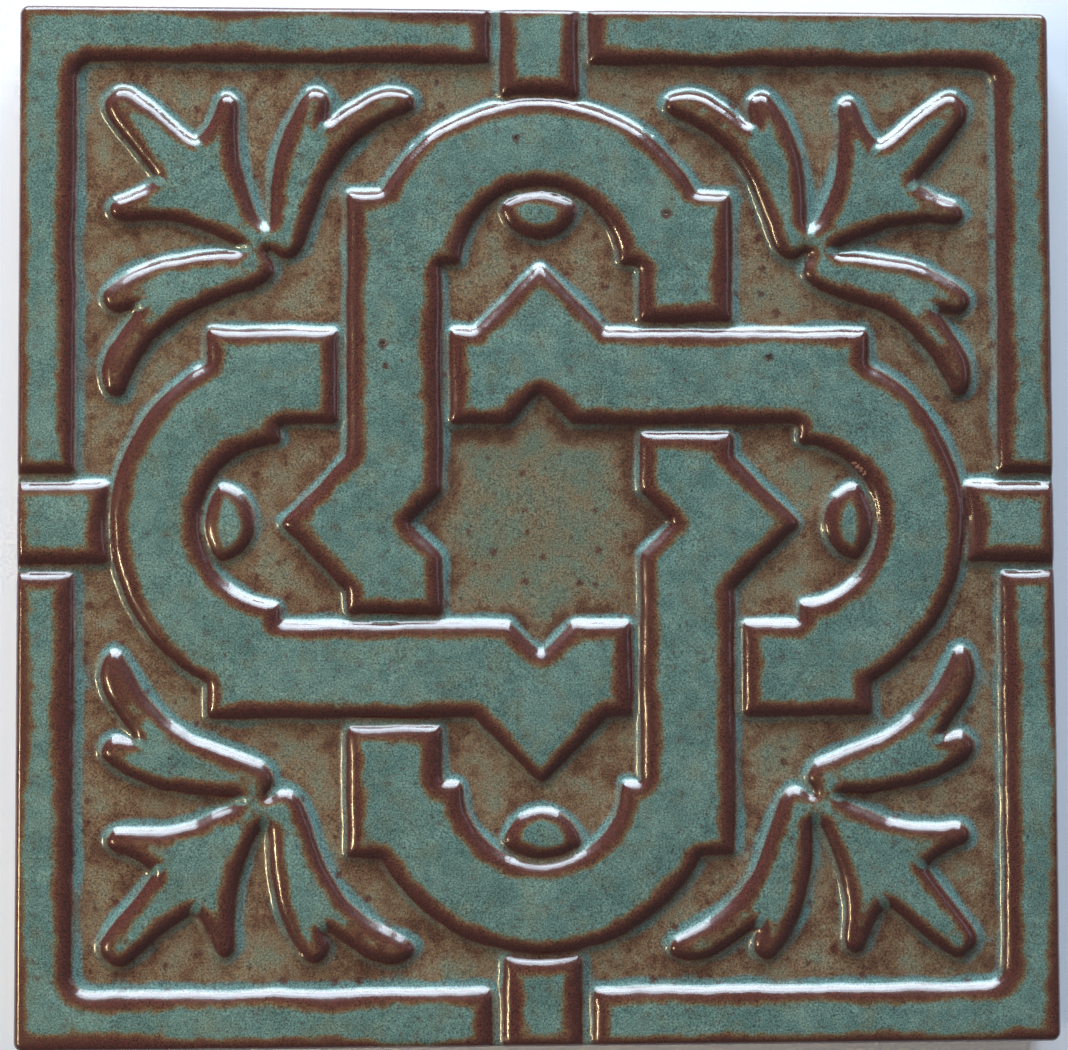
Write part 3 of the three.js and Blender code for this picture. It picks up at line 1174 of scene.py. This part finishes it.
def make_camera():
    """Looks down on the tile as the photograph does."""
    data = bpy.data.cameras.new("camera")
    data.sensor_fit = "HORIZONTAL"
    data.sensor_width = SENSOR_WIDTH
    data.lens = FOCAL_PIXELS * SENSOR_WIDTH / PHOTO_WIDTH
    camera = bpy.data.objects.new("camera", data)
    camera.location = CAMERA_PLACE
    camera.rotation_euler = Euler([math.radians(angle) for angle in CAMERA_TURN])
    bpy.context.scene.collection.objects.link(camera)
    bpy.context.scene.camera = camera


def make_floor():
    """A plain pale surface under the tile."""
    mesh = bpy.data.meshes.new("floor")
    corners = [(x * FLOOR_HALF, y * FLOOR_HALF, 0.0) for x, y in ((-1, -1), (1, -1), (1, 1), (-1, 1))]
    mesh.from_pydata(corners, [], [(0, 1, 2, 3)])
    floor = bpy.data.objects.new("floor", mesh)
    bpy.context.scene.collection.objects.link(floor)
    material, _, shader = new_material("pale_floor")
    shader.inputs["Base Color"].default_value = FLOOR_COLOUR
    shader.inputs["Roughness"].default_value = 0.8
    mesh.materials.append(material)


def soft_box(name, place, aim, width, height, power, colour):
    """A soft rectangular light that looks from its place to its aim."""
    data = bpy.data.lights.new(name, "AREA")
    data.shape = "RECTANGLE"
    data.size = width
    data.size_y = height
    data.energy = power
    data.color = colour
    light = bpy.data.objects.new(name, data)
    light.location = place
    light.rotation_euler = (Vector(aim) - Vector(place)).to_track_quat("-Z", "Y").to_euler()
    bpy.context.scene.collection.objects.link(light)
    return light


def make_sky():
    """Low even light from all round."""
    world = bpy.data.worlds.new("studio")
    world.use_nodes = True
    sky = world.node_tree.nodes["Background"]
    sky.inputs["Color"].default_value = SKY_COLOUR
    sky.inputs["Strength"].default_value = SKY_STRENGTH
    bpy.context.scene.world = world


def make_window():
    """Upright panes beyond the tile's top edge, whose reflections are the bright lines on the walls."""
    for low_angle, high_angle, radiance in WINDOW_PANES:
        low_edge = WINDOW_AWAY * math.tan(math.radians(low_angle))
        high_edge = WINDOW_AWAY * math.tan(math.radians(high_angle))
        tall = high_edge - low_edge
        middle = (low_edge + high_edge) / 2
        power = radiance * math.pi * WINDOW_WIDE * tall
        place = (0.0, WINDOW_AWAY, middle)
        soft_box("window_pane", place, (0.0, 0.0, middle), WINDOW_WIDE, tall, power, WINDOW_COLOUR)


def make_light():
    """Soft studio light, brightest from the window, with a narrow warm line from the left."""
    make_sky()
    make_window()
    middle = (0.0, 0.0, 0.0)
    warm = soft_box("warm_strip", WARM_STRIP_PLACE, WARM_STRIP_AIM, 0.7, 0.03, 0.125, (1.0, 0.80, 0.45))
    warm.data.spread = math.radians(WARM_STRIP_SPREAD)
    side = soft_box("side_fill", SIDE_FILL_PLACE, middle, 0.8, 0.5, 4.6, (1.0, 0.93, 0.82))
    side.visible_glossy = False
    soft_box("cool_strip", COOL_STRIP_PLACE, middle, 0.6, 0.16, 0.32, (0.8, 0.78, 1.0))
    bpy.context.scene.view_settings.view_transform = "Standard"


make_camera()
make_floor()
make_light()
speckle = kiln_speckle_group()
flaws = firing_flaws_group()
peel = orange_peel_group()
tile = make_tile()
tile.data.materials.append(pooled_glaze(speckle, flaws, peel))
tile.data.materials.append(fired_clay(peel))
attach(tile, "root")
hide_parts(TILE)
